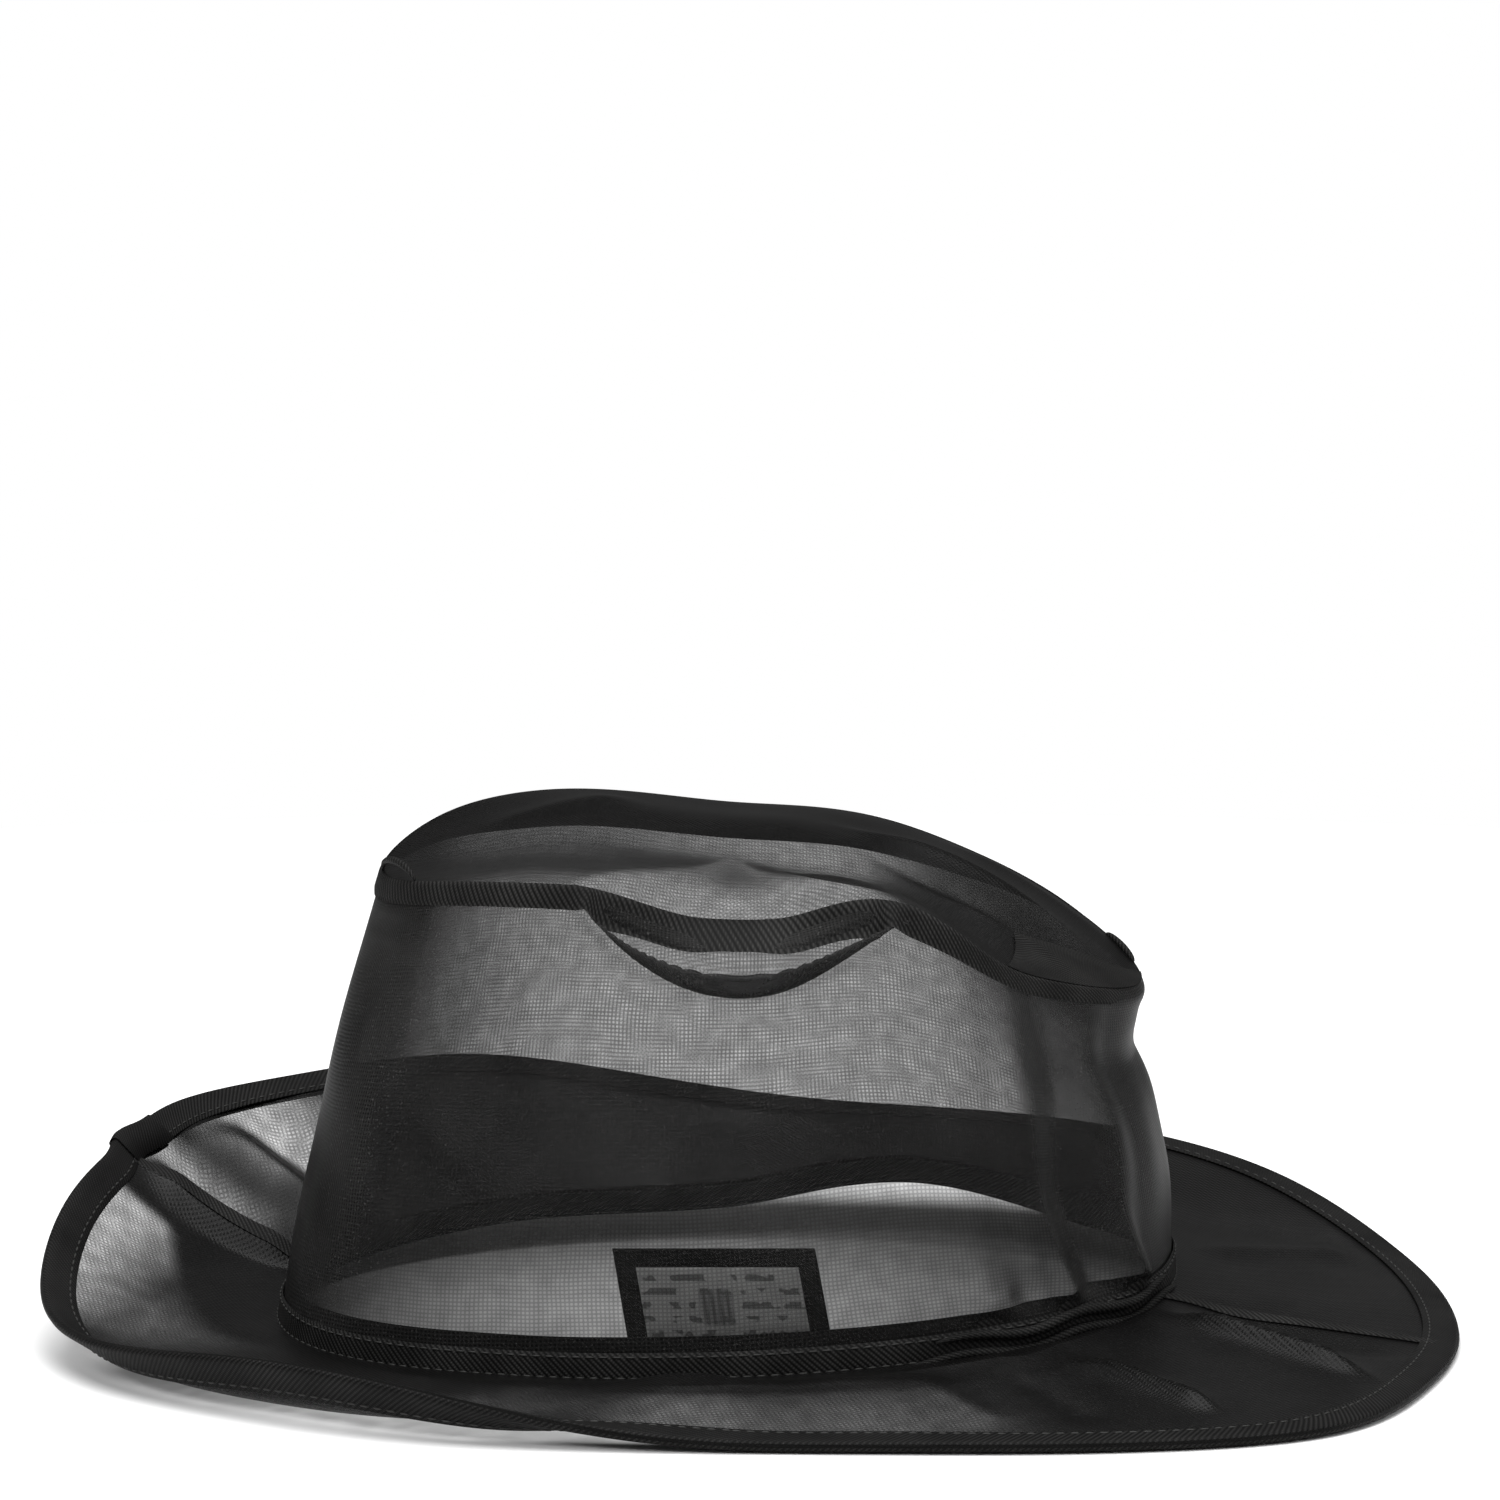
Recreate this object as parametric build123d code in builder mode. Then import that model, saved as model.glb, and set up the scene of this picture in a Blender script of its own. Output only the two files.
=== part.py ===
from build123d import *
import math
import os

# A soft mesh hat standing on a table. Millimetres, +Z up, front of the hat towards +X.
# The near side of the hat is towards -Y, the far side towards +Y.

os.makedirs("parts", exist_ok=True)

# --- Driving dimensions -------------------------------------------------------------------

# Crown base: the head opening, an ellipse on a slightly tilted plane.
opening_length = 208.0
opening_width = 160.0
opening_centre_x = -6.0
opening_centre_y = -2.0
base_height = 6.5
base_rise_x = 0.035
base_rise_y = 0.045

# Crown tip: the top seam, an ellipse on its own tilted plane.
tip_length = 164.0
tip_width = 122.0
tip_centre_x = -5.5
tip_centre_y = -2.0
tip_height = 108.0
tip_rise_x = -0.12
tip_rise_y = 0.06
tip_dome = 5.0

# Cloth and tapes.
cloth = 0.6
tape = 0.7
sewn_gap = 0.05
root_gap = 0.3
base_tape_height = 9.0
sweatband_height = 12.0
tip_tape_height = 8.0
seam_tape_width = 8.0

# The seams run down the front and the back, turned a little from the X axis.
seam_turn = -15.0

# Brim edge: finished points of the binding's outer edge, anticlockwise from the front.
brim_edge = [
    (163, -2, 1),
    (156, 46, 4),
    (135, 82, 13),
    (105, 107, 19),
    (63, 125, 22),
    (17, 133, 24),
    (-33, 134, 31),
    (-78, 128, 37),
    (-118, 110, 37),
    (-147, 78, 36),
    (-158, 38, 34),
    (-163, -7, 24),
    (-163, -40, 13),
    (-148, -74, 9),
    (-113, -103, 12),
    (-73, -124, 10),
    (-28, -132, 2),
    (27, -134, 0),
    (82, -132, 0),
    (122, -119, 0),
    (147, -82, 0),
    (160, -42, 0),
]
# The points that each zone of the brim runs through, counted along brim_edge, with one or
# two to spare past its cuts.
spans = {
    "front": (18, 28),
    "back": (6, 18),
    "near": (8, 24),
    "far": (19, 35),
}
brim_layer = 0.6
layer_gap = 0.3
binding_width = 8.0
binding_cloth = 0.65
slot_gap = 0.25
stiffener_width = 1.2
stiffener_gap = 0.7
brim_seam_tape_width = 7.0

# Fold lines where the front and the back of the brim turn up, just past the crown's ends.
front_fold_reach = 5.0
front_fold_gap = 3.0
back_fold_reach = 5.0
back_fold_gap = 6.0

# Moving crown tip and label.
tip_clearance = 0.35
label_width = 45.0
label_length = 28.0
label_border = 4.5
label_thickness = 0.4
label_field_thickness = 0.25
label_x = -5.0
label_lean = 25.0
label_height = 3.5
label_clearance = 0.8

# --- Derived values -----------------------------------------------------------------------

brim_half_stack = layer_gap / 2 + brim_layer
slot_half = brim_half_stack + slot_gap
binding_half = slot_half + binding_cloth
stiffener_inset = binding_cloth + slot_gap
cloth_inset = stiffener_inset + stiffener_width + stiffener_gap
seam_tape_inset = binding_width + 2.0
edge_lift = binding_half + 2 * sewn_gap
brim_root = sewn_gap + tape + root_gap
far_away = 400.0
front_fold_x = opening_centre_x + opening_length / 2 + front_fold_reach
back_fold_x = opening_centre_x - opening_length / 2 - back_fold_reach

base_plane = Plane(
    origin=(opening_centre_x, opening_centre_y, base_height),
    x_dir=(1, 0, base_rise_x),
    z_dir=(-base_rise_x, -base_rise_y, 1),
)
tip_plane = Plane(
    origin=(tip_centre_x, tip_centre_y, tip_height),
    x_dir=(1, 0, tip_rise_x),
    z_dir=(-tip_rise_x, -tip_rise_y, 1),
)
# Its normal points to the far side.
seam_plane = Plane(
    origin=(opening_centre_x, opening_centre_y, 0),
    x_dir=(math.cos(math.radians(seam_turn)), math.sin(math.radians(seam_turn)), 0),
    z_dir=(-math.sin(math.radians(seam_turn)), math.cos(math.radians(seam_turn)), 0),
)


# --- Crown helpers ------------------------------------------------------------------------


def crown_shell(outer, inner):
    """The space between two copies of the crown's outline, grown by outer and inner."""
    with BuildPart() as shell:
        for grow, mode in ((outer, Mode.ADD), (inner, Mode.SUBTRACT)):
            with BuildSketch(base_plane):
                Ellipse(opening_length / 2 + grow, opening_width / 2 + grow)
            with BuildSketch(tip_plane):
                Ellipse(tip_length / 2 + grow, tip_width / 2 + grow)
            loft(mode=mode)
    return shell.part


def seam_slab(width, side):
    """A tall block over the front (side 1) or back (side -1) seam."""
    with BuildPart() as slab:
        with BuildSketch(Plane.XY.offset(-far_away)):
            with Locations(Location((opening_centre_x, opening_centre_y), seam_turn)):
                Rectangle(
                    far_away,
                    width,
                    align=(Align.MIN if side > 0 else Align.MAX, Align.CENTER),
                )
        extrude(amount=2 * far_away)
    return slab.part


# --- Brim helpers -------------------------------------------------------------------------


def base_height_at(x, y):
    """Height of the crown's lower edge, or of its plane, above a point of the table."""
    rise = base_rise_x * (x - opening_centre_x) + base_rise_y * (y - opening_centre_y)
    return base_height + rise


def root_point(edge_point):
    """The point where the brim meets the crown, in line with a point of the brim's edge."""
    angle = math.atan2(edge_point[1] - opening_centre_y, edge_point[0] - opening_centre_x)
    long_radius = opening_length / 2 + brim_root
    short_radius = opening_width / 2 + brim_root
    reach = 1 / math.hypot(math.cos(angle) / long_radius, math.sin(angle) / short_radius)
    x = opening_centre_x + reach * math.cos(angle)
    y = opening_centre_y + reach * math.sin(angle)
    return Vector(x, y, base_height_at(x, y) + brim_half_stack)


def brim_curve(span, inset, lift):
    """A curve along the brim at a distance in from its edge, or at the crown for None."""
    points = []
    for place in range(*span):
        x, y, z = brim_edge[place % len(brim_edge)]
        edge = Vector(x, y, z + edge_lift)
        root = root_point((x, y))
        point = root if inset is None else edge - (edge - root).normalized() * inset
        points.append(point + Vector(0, 0, lift))
    with BuildLine() as curve:
        Spline(*points)
    return curve.line.edge()


def brim_sheet(zone, inner, outer, low, high):
    """A sheet between two insets over one zone, from low to high above the brim's middle."""
    span = spans[zone]
    with BuildPart() as sheet:
        face = Face.make_surface_from_curves(
            brim_curve(span, inner, low), brim_curve(span, outer, low)
        )
        thicken(face, amount=high - low, normal_override=(0, 0, 1))
    return sheet.part


def cuts(zone):
    """The planes that bound a zone of the brim, each with the side that is kept."""
    front = front_fold_x + front_fold_gap / 2
    back = back_fold_x - back_fold_gap / 2
    if zone == "front":
        return [(Plane.YZ.offset(front), Keep.TOP)]
    if zone == "back":
        return [(Plane.YZ.offset(back), Keep.BOTTOM)]
    return [
        (Plane.YZ.offset(front - front_fold_gap), Keep.BOTTOM),
        (Plane.YZ.offset(back + back_fold_gap), Keep.TOP),
        seam_cut(zone),
    ]


def seam_cut(side):
    """The cut at the front and back seams, just short of the other side's panel."""
    if side == "near":
        return (seam_plane.offset(-sewn_gap), Keep.BOTTOM)
    return (seam_plane.offset(sewn_gap), Keep.TOP)


def cut_piece(whole, planes):
    with BuildPart() as piece:
        add(whole)
        for plane, keep in planes:
            split(bisect_by=plane, keep=keep)
    return piece.part


def write(name, part):
    part.label = name
    export_step(part, f"parts/{name}.step")


# --- Crown --------------------------------------------------------------------------------

for side, keep in (("near", Keep.BOTTOM), ("far", Keep.TOP)):
    with BuildPart() as crown_side:
        add(crown_shell(0, -cloth))
        split(bisect_by=seam_plane, keep=keep)
    write(f"crown_side_{side}", crown_side.part)

with BuildPart() as base_tape:
    add(crown_shell(sewn_gap + tape, sewn_gap))
    split(bisect_by=base_plane.offset(base_tape_height), keep=Keep.BOTTOM)
write("base_tape", base_tape.part)

sweatband_outer = -cloth - sewn_gap
with BuildPart() as sweatband:
    add(crown_shell(sweatband_outer, sweatband_outer - tape))
    split(bisect_by=base_plane.offset(sweatband_height), keep=Keep.BOTTOM)
write("sweatband", sweatband.part)

for name, side in (("front", 1), ("back", -1)):
    with BuildPart() as crown_seam_tape:
        add(crown_shell(sweatband_outer, sweatband_outer - tape))
        add(seam_slab(seam_tape_width, side), mode=Mode.INTERSECT)
        split(bisect_by=base_plane.offset(sweatband_height + 1), keep=Keep.TOP)
        split(bisect_by=tip_plane.offset(-tip_tape_height - 2), keep=Keep.BOTTOM)
    write(f"crown_{name}_seam_tape", crown_seam_tape.part)

tip_outer = -cloth - tip_clearance
with BuildPart() as crown_tip:
    with BuildSketch(tip_plane) as tip_outline:
        Ellipse(tip_length / 2 + tip_outer, tip_width / 2 + tip_outer)
    tip_edge = tip_outline.sketch.face().outer_wire()
    tip_top = tip_plane.origin + tip_plane.z_dir * tip_dome
    thicken(
        Face.make_surface(tip_edge, surface_points=[tip_top]),
        amount=cloth,
        normal_override=(0, 0, 1),
    )
write("crown_tip", crown_tip.part)

with BuildPart() as crown_tip_tape:
    add(crown_shell(tip_outer, tip_outer - tape))
    split(bisect_by=tip_plane.offset(-sewn_gap), keep=Keep.BOTTOM)
    split(bisect_by=tip_plane.offset(-tip_tape_height), keep=Keep.TOP)
write("crown_tip_tape", crown_tip_tape.part)

# --- Brim ---------------------------------------------------------------------------------

layers = {
    "upper": (layer_gap / 2, brim_half_stack),
    "under": (-brim_half_stack, -layer_gap / 2),
}
for layer, (low, high) in layers.items():
    for zone in ("near", "far"):
        whole_layer = brim_sheet(zone, None, cloth_inset, low, high)
        write(f"brim_{layer}_{zone}", cut_piece(whole_layer, cuts(zone)))
    for zone in ("front", "back"):
        whole_layer = brim_sheet(zone, None, cloth_inset, low, high)
        for side in ("near", "far"):
            panel = cut_piece(whole_layer, cuts(zone) + [seam_cut(side)])
            write(f"brim_{layer}_{zone}_{side}", panel)

for zone in spans:
    with BuildPart() as binding:
        add(brim_sheet(zone, binding_width, 0, -binding_half, binding_half))
        add(
            brim_sheet(zone, binding_width + 1, binding_cloth, -slot_half, slot_half),
            mode=Mode.SUBTRACT,
        )
    write(f"brim_binding_{zone}", cut_piece(binding.part, cuts(zone)))
    stiffener = brim_sheet(
        zone,
        stiffener_inset + stiffener_width,
        stiffener_inset,
        -brim_half_stack,
        brim_half_stack,
    )
    write(f"brim_stiffener_{zone}", cut_piece(stiffener, cuts(zone)))

seam_tape_low = brim_half_stack + layer_gap / 2
for zone, side in (("front", 1), ("back", -1)):
    with BuildPart() as brim_seam_tape:
        add(brim_sheet(zone, None, seam_tape_inset, seam_tape_low, seam_tape_low + tape))
        add(seam_slab(brim_seam_tape_width, side), mode=Mode.INTERSECT)
    write(f"brim_{zone}_seam_tape", cut_piece(brim_seam_tape.part, cuts(zone)))

# --- Label --------------------------------------------------------------------------------

band_inner = tape - sweatband_outer
label_half = abs(label_x - opening_centre_x) + label_width / 2
label_reach = label_half / (opening_length / 2 - band_inner)
near_reach = (opening_width / 2 - band_inner) * math.sqrt(1 - label_reach**2)
near_y = opening_centre_y - near_reach + label_clearance
label_root_z = base_height_at(label_x, near_y) + label_height
lean = math.radians(label_lean)
label_plane = Plane(
    origin=(label_x, near_y, label_root_z),
    x_dir=(1, 0, 0),
    z_dir=(0, -math.cos(lean), math.sin(lean)),
)
field_width = label_width - 2 * label_border
field_length = label_length - 2 * label_border

with BuildPart() as label_frame:
    with BuildSketch(label_plane.offset(-label_thickness / 2)):
        with Locations((0, label_length / 2)):
            Rectangle(label_width, label_length)
            Rectangle(field_width, field_length, mode=Mode.SUBTRACT)
    extrude(amount=label_thickness)
write("label_border", label_frame.part)

with BuildPart() as label_field:
    with BuildSketch(label_plane.offset(-label_field_thickness / 2)):
        with Locations((0, label_length / 2)):
            Rectangle(field_width - 2 * sewn_gap, field_length - 2 * sewn_gap)
    extrude(amount=label_field_thickness)
write("label_field", label_field.part)
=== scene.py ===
"""A soft brimmed hat of sheer black mesh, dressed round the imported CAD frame."""

import math

import bpy
import numpy as np
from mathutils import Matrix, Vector

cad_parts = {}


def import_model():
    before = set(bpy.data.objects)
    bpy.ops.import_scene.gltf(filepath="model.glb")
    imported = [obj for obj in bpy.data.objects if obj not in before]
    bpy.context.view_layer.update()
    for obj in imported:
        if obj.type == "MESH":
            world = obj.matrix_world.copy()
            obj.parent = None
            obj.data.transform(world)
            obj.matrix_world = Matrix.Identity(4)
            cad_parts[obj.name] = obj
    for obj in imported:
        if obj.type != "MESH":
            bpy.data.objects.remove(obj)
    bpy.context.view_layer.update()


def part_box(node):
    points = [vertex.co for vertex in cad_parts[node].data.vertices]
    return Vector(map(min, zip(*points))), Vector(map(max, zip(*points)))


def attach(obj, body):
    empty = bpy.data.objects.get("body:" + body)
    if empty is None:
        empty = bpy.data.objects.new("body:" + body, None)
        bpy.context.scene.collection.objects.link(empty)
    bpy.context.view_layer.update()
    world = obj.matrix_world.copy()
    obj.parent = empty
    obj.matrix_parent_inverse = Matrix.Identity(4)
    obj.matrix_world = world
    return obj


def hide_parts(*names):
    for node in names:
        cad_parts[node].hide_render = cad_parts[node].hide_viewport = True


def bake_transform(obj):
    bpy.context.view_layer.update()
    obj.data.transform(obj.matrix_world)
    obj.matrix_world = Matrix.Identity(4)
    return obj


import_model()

MM = 0.001
TURN = 2 * math.pi

# --- Sizes and outlines, in millimetres ---------------------------------------------------

tape_low, tape_high = (np.array(corner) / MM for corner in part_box("base_tape"))
OPENING_CENTRE = (tape_low + tape_high) / 2
OPENING_RADII = (tape_high - tape_low) / 2
BASE_HEIGHT = 6.5
BASE_RISE = (0.035, 0.045)
TAPE_THICK = 0.7
SEAM = -15.0
BASE_TAPE_HEIGHT = 6.8
SWEATBAND_HEIGHT = 10.0
TIP_TAPE_HEIGHT = 5.6
TIP_TAPE_WIDER = 4.0
SEAM_TAPE_WIDTH = 4.6
LAYER_LIFT = 0.45
ROOT_GAP = 0.9

# Finished edge of the brim, anticlockwise from the front, within 4 mm of the CAD binding.
BRIM_EDGE = [
    (163, -2, 1),
    (156, 46, 4),
    (135, 82, 13),
    (105, 107, 19),
    (63, 125, 22),
    (17, 133, 24),
    (-33, 134, 31),
    (-78, 128, 37),
    (-118, 110, 35),
    (-146, 78, 33.8),
    (-155, 38, 31.5),
    (-163, -7, 24),
    (-163, -40, 13),
    (-148, -74, 9),
    (-113, -103, 12),
    (-73, -124, 10),
    (-28, -132, 2),
    (27, -134, 0),
    (82, -132, 0),
    (122, -119, 0),
    (147, -82, 0),
    (160, -42, 0),
]

# Seam between the crown's side and its tip, anticlockwise from the front, without the dent.
TIP_SEAM = [
    (90, -2, 80),
    (84, 16, 87),
    (70, 31, 96),
    (54, 45, 103),
    (33, 54, 110),
    (-6, 59, 114),
    (-48, 52, 118),
    (-69, 39, 116),
    (-82, 20, 111),
    (-87, -2, 106),
    (-83, -17, 105.5),
    (-69, -36, 107.5),
    (-45, -54, 109.5),
    (-20, -61, 109),
    (5, -62, 108.5),
    (30, -59, 107),
    (43, -56, 100),
    (55, -48, 90.5),
    (68, -36, 84.5),
    (81, -21, 80.5),
]
TIP_CENTRE = (-6.0, -2.0, 112.0)


# --- Curves -------------------------------------------------------------------------------


def smooth(t):
    t = np.clip(t, 0, 1)
    return t * t * (3 - 2 * t)


def unit(vectors):
    return vectors / np.linalg.norm(vectors, axis=-1, keepdims=True)


def window(angle, centre, half_width):
    """1 at centre and 0 from half_width away, all in degrees round the hat."""
    off = (np.degrees(angle) - centre + 180) % 360 - 180
    return smooth(1 - np.abs(off) / half_width)


def closed_curve(points, centre):
    """A smooth closed curve through points, as a function of the angle round centre."""
    values = np.array(points, float)
    knots = np.unwrap(np.arctan2(values[:, 1] - centre[1], values[:, 0] - centre[0]))
    count = len(knots)
    steps = np.diff(np.append(knots, knots[0] + TURN))
    rises = (np.roll(values, -1, axis=0) - values) / steps[:, None]
    system = np.zeros((count, count))
    right = np.zeros((count, 3))
    for i in range(count):
        before = steps[i - 1]
        after = steps[i]
        system[i, i - 1] = before
        system[i, i] = 2 * (before + after)
        system[i, (i + 1) % count] = after
        right[i] = 6 * (rises[i] - rises[i - 1])
    bends = np.linalg.solve(system, right)

    def curve(angle):
        turned = knots[0] + (np.asarray(angle, float) - knots[0]) % TURN
        i = np.clip(np.searchsorted(knots, turned, side="right") - 1, 0, count - 1)
        j = (i + 1) % count
        h = steps[i][..., None]
        t = (turned - knots[i])[..., None]
        back = h - t
        ends = values[i] * back / h + values[j] * t / h
        curved = bends[i] * (back**3 / h - h * back) + bends[j] * (t**3 / h - h * t)
        return ends + curved / 6

    return curve


brim_edge = closed_curve(BRIM_EDGE, OPENING_CENTRE)
tip_seam_plain = closed_curve(TIP_SEAM, TIP_CENTRE)


# Where the crown's foot leaves its oval: angle and half width in degrees, and mm.
BASE_BUMPS = [(-157, 34, 4.0)]
BASE_LIFTS = [(58, 34, 5.5), (100, 30, -1.5), (-165, 70, -1.0)]


def windows(angle, places):
    """The sum of windows given as (centre, half width, height)."""
    return sum(tall * window(angle, centre, wide) for centre, wide, tall in places)


def base_ring(angle, out=0.0):
    """The lower edge of the crown, out mm past its cloth."""
    a = OPENING_RADII[0] - TAPE_THICK + out
    b = OPENING_RADII[1] - TAPE_THICK + out
    reach = 1 / np.hypot(np.cos(angle) / a, np.sin(angle) / b) + windows(angle, BASE_BUMPS)
    x = OPENING_CENTRE[0] + reach * np.cos(angle)
    y = OPENING_CENTRE[1] + reach * np.sin(angle)
    rise_x = BASE_RISE[0] * (x - OPENING_CENTRE[0])
    rise_y = BASE_RISE[1] * (y - OPENING_CENTRE[1])
    height = BASE_HEIGHT + rise_x + rise_y + windows(angle, BASE_LIFTS)
    return np.stack([x, y, height], axis=-1)


# --- Crown --------------------------------------------------------------------------------

DENT_ANGLE = -88.0
DENT_HALF_WIDTH = 36.0
DENT_PUSH = np.array([0, 19.0, -8.5])
LIP_DROP = 0.185


def dent(angle):
    """How far the thumb dent pushes the tip seam, from 0 to 1."""
    off = (np.degrees(angle) - DENT_ANGLE + 180) % 360 - 180
    return smooth(1.25 * (1 - np.abs(off) / DENT_HALF_WIDTH))


def lip(angle):
    """Depth of the dent's lip below the tip seam, from 0 to 1."""
    off = (np.degrees(angle) - DENT_ANGLE + 180) % 360 - 180
    return np.clip(1 - (off / (DENT_HALF_WIDTH * 0.97)) ** 2, 0, 1) ** 0.8


def tip_seam(angle):
    return tip_seam_plain(angle) + dent(angle)[..., None] * DENT_PUSH


# Folds of the crown's side: angle and half width in degrees, height in mm.
FRONT_FOLDS = [(-24, 6.0, 1.9), (-34, 6.5, -1.5), (-43, 6.5, 1.6), (-7, 8.0, -0.9), (7, 8.0, 0.8)]
CRUMPLES = [(-19, 5.0, 5.1), (-27, 3.6, -3.74), (-33, 3.4, 4.42), (-40, 4.0, -2.72), (-47, 5.0, 2.38)]
# Rings at the front of the crown: share of its height, spread of that share, height in mm.
WAIST = (0.78, 0.115, 3.1)
SHOULDER = (0.96, 0.035, 1.2)


def ring_bulge(v, place):
    """A soft ring round the crown, given as (share of its height, spread, height)."""
    centre, spread, tall = place
    return tall * np.exp(-(((v - centre) / spread) ** 2))


def crown_bulge(angle, v):
    """How far the side stands out from a straight line between base and tip."""
    v = np.clip(v, 0, 1)
    front = window(angle, 0, 62)
    side_bulge = 3.0 * np.sin(math.pi * v)
    front_bulge = 1.6 * np.sin(math.pi * np.clip(v / 0.75, 0, 1))
    waist = ring_bulge(v, WAIST) * window(angle, 4, 50)
    shoulder = ring_bulge(v, SHOULDER) * window(angle, 4, 40)
    bulge = side_bulge * (1 - front) + front_bulge * front - waist + shoulder
    for centre, wide, tall in FRONT_FOLDS:
        bulge = bulge + tall * window(angle, centre + 6 * v, wide) * np.sin(math.pi * v) ** 0.7
    low = smooth((v - 0.07) / 0.07) * np.exp(-((v / 0.24) ** 2))
    for centre, wide, tall in CRUMPLES:
        bulge = bulge + tall * window(angle, centre - 14 * v, wide) * low
    back = window(angle, 168, 26) * np.sin(math.pi * v)
    bulge = bulge + 1.3 * back * np.cos(np.radians((np.degrees(angle) - 168) * 16))
    softness = np.sin(np.degrees(angle) / 11 + 5 * v) * np.sin(6 * v + np.degrees(angle) / 23)
    return bulge + 0.8 * softness * np.sin(math.pi * v)


def crown_side(angle, v, out=0.0):
    """A point of the crown's side, v from 0 at the base to 1 at the tip seam."""
    v = np.asarray(v, float)
    depth = lip(angle)
    lip_v = 1 - LIP_DROP * depth
    wall_v = np.minimum(v, lip_v)
    low = base_ring(angle)
    high = tip_seam_plain(angle)
    wall = low + (high - low) * wall_v[..., None]
    shelf = np.clip((v - lip_v) / np.maximum(1 - lip_v, 0.004), 0, 1) * (depth > 0)
    inner = tip_seam(angle)
    point = wall + (inner - wall) * shelf[..., None]
    gully = np.sin(math.pi * np.clip(shelf / 0.5, 0, 1)) * depth
    point[..., 2] += 2.6 * depth * np.exp(-(((v - lip_v) / 0.02) ** 2)) - 6.5 * gully
    outward = np.stack(
        [np.cos(angle) * OPENING_RADII[1], np.sin(angle) * OPENING_RADII[0], 0 * angle],
        axis=-1,
    )
    roll = 2.2 * depth * np.exp(-(((v - lip_v + 0.012) / 0.022) ** 2))
    stand = crown_bulge(angle, wall_v) * (1 - shelf) + roll + out
    return point + unit(outward) * stand[..., None]


# Creases of the tip: start, end, height and half width, all in mm.
TIP_CREASES = [
    ((14, 30), (84, -14), 3.0, 4.5),
    ((20, 14), (72, -34), -2.6, 5.0),
    ((40, 44), (90, 6), 2.0, 4.0),
    ((40, -14), (76, -30), 1.8, 4.0),
    ((-70, 12), (-30, 44), 1.6, 6.0),
]
HOLLOW_CENTRE = (2.0, -14.0)
HOLLOW_RADII = (36.0, 26.0)
HOLLOW_DEPTH = 7.0
TIP_CROWN = 2.0


def ridge(x, y, start, end, wide):
    """A soft ridge, 1 on the line from start to end and fading out at both of its ends."""
    start = np.array(start, float)
    along = np.array(end, float) - start
    length = np.linalg.norm(along)
    along /= length
    t = ((x - start[0]) * along[0] + (y - start[1]) * along[1]) / length
    d = (x - start[0]) * along[1] - (y - start[1]) * along[0]
    return smooth(t * 2.5) * smooth((1.05 - t) * 4) / (1 + (d / wide) ** 2)


def crown_tip(angle, r):
    """A point of the tip, r from 0 in the middle to 1 at its seam."""
    centre = np.array(TIP_CENTRE)
    edge = tip_seam(angle)
    r = np.asarray(r, float)
    point = centre + (edge - centre) * r[..., None]
    point[..., 2] = centre[2] + (edge[..., 2] - centre[2]) * r**2
    x, y = point[..., 0], point[..., 1]
    off_x = (x - HOLLOW_CENTRE[0]) / HOLLOW_RADII[0]
    off_y = (y - HOLLOW_CENTRE[1]) / HOLLOW_RADII[1]
    lift = TIP_CROWN - HOLLOW_DEPTH * np.exp(-(off_x**2) - off_y**2)
    for start, end, tall, wide in TIP_CREASES:
        lift = lift + tall * ridge(x, y, start, end, wide)
    lift = lift + 0.7 * np.sin(x / 11 + y / 17) * np.sin(y / 13 - x / 31)
    point[..., 2] += lift * (1 - r**4)
    return point


# --- Brim ---------------------------------------------------------------------------------


def brim_power(angle):
    """How late the brim turns towards its edge height: 1 is a straight slope."""
    near_left = window(angle, -128, 48)
    back = window(angle, 178, 52)
    return 1.0 + 14.0 * near_left**1.5 + 0.9 * back


# Creases of the brim: start, end, height and half width, all in mm.
BRIM_CREASES = [
    ((86, -34), (140, -84), 4.6, 2.8),
    ((92, -26), (150, -62), -2.0, 6.0),
    ((66, -70), (100, -112), 3.4, 2.4),
    ((52, -74), (74, -118), -1.2, 5.0),
    ((30, -82), (52, -122), 1.2, 4.0),
    ((96, 10), (150, 34), 1.8, 7.0),
]
# Folds that fan out at the back: angle and half width in degrees, height in mm.
BACK_FOLDS = [
    (164.5, 3.0, 5.5),
    (158.5, 3.2, -5.5),
    (150.5, 3.6, 5.0),
    (142.5, 3.6, -4.4),
    (134, 5.0, 3.6),
]


def brim_folds(angle, u, x, y):
    """Height of the folds and creases in the brim."""
    inside = smooth(u * 4) * smooth((0.93 - u) * 3.6)
    height = np.zeros_like(u)
    for centre, wide, tall in BACK_FOLDS:
        height = height + tall * window(angle, centre, wide + 3 * u) * inside
    for start, end, tall, wide in BRIM_CREASES:
        height = height + tall * ridge(x, y, start, end, wide) * inside
    far = window(angle, 80, 60) * inside
    height = height + 1.6 * far * np.sin(np.degrees(angle) / 5.2)
    near = window(angle, -94, 48) * smooth(u * 4) * smooth((1 - u) * 1.6)
    return height + near * (3.2 + 0.9 * np.sin(np.degrees(angle) / 4.1))


TAB_ANGLE = 163.5
TAB_PUSH = (-1.8, 0.4, 0.9)
BRIM_LIFT = 1.6
LOWEST_CLOTH = 1.2


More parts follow.
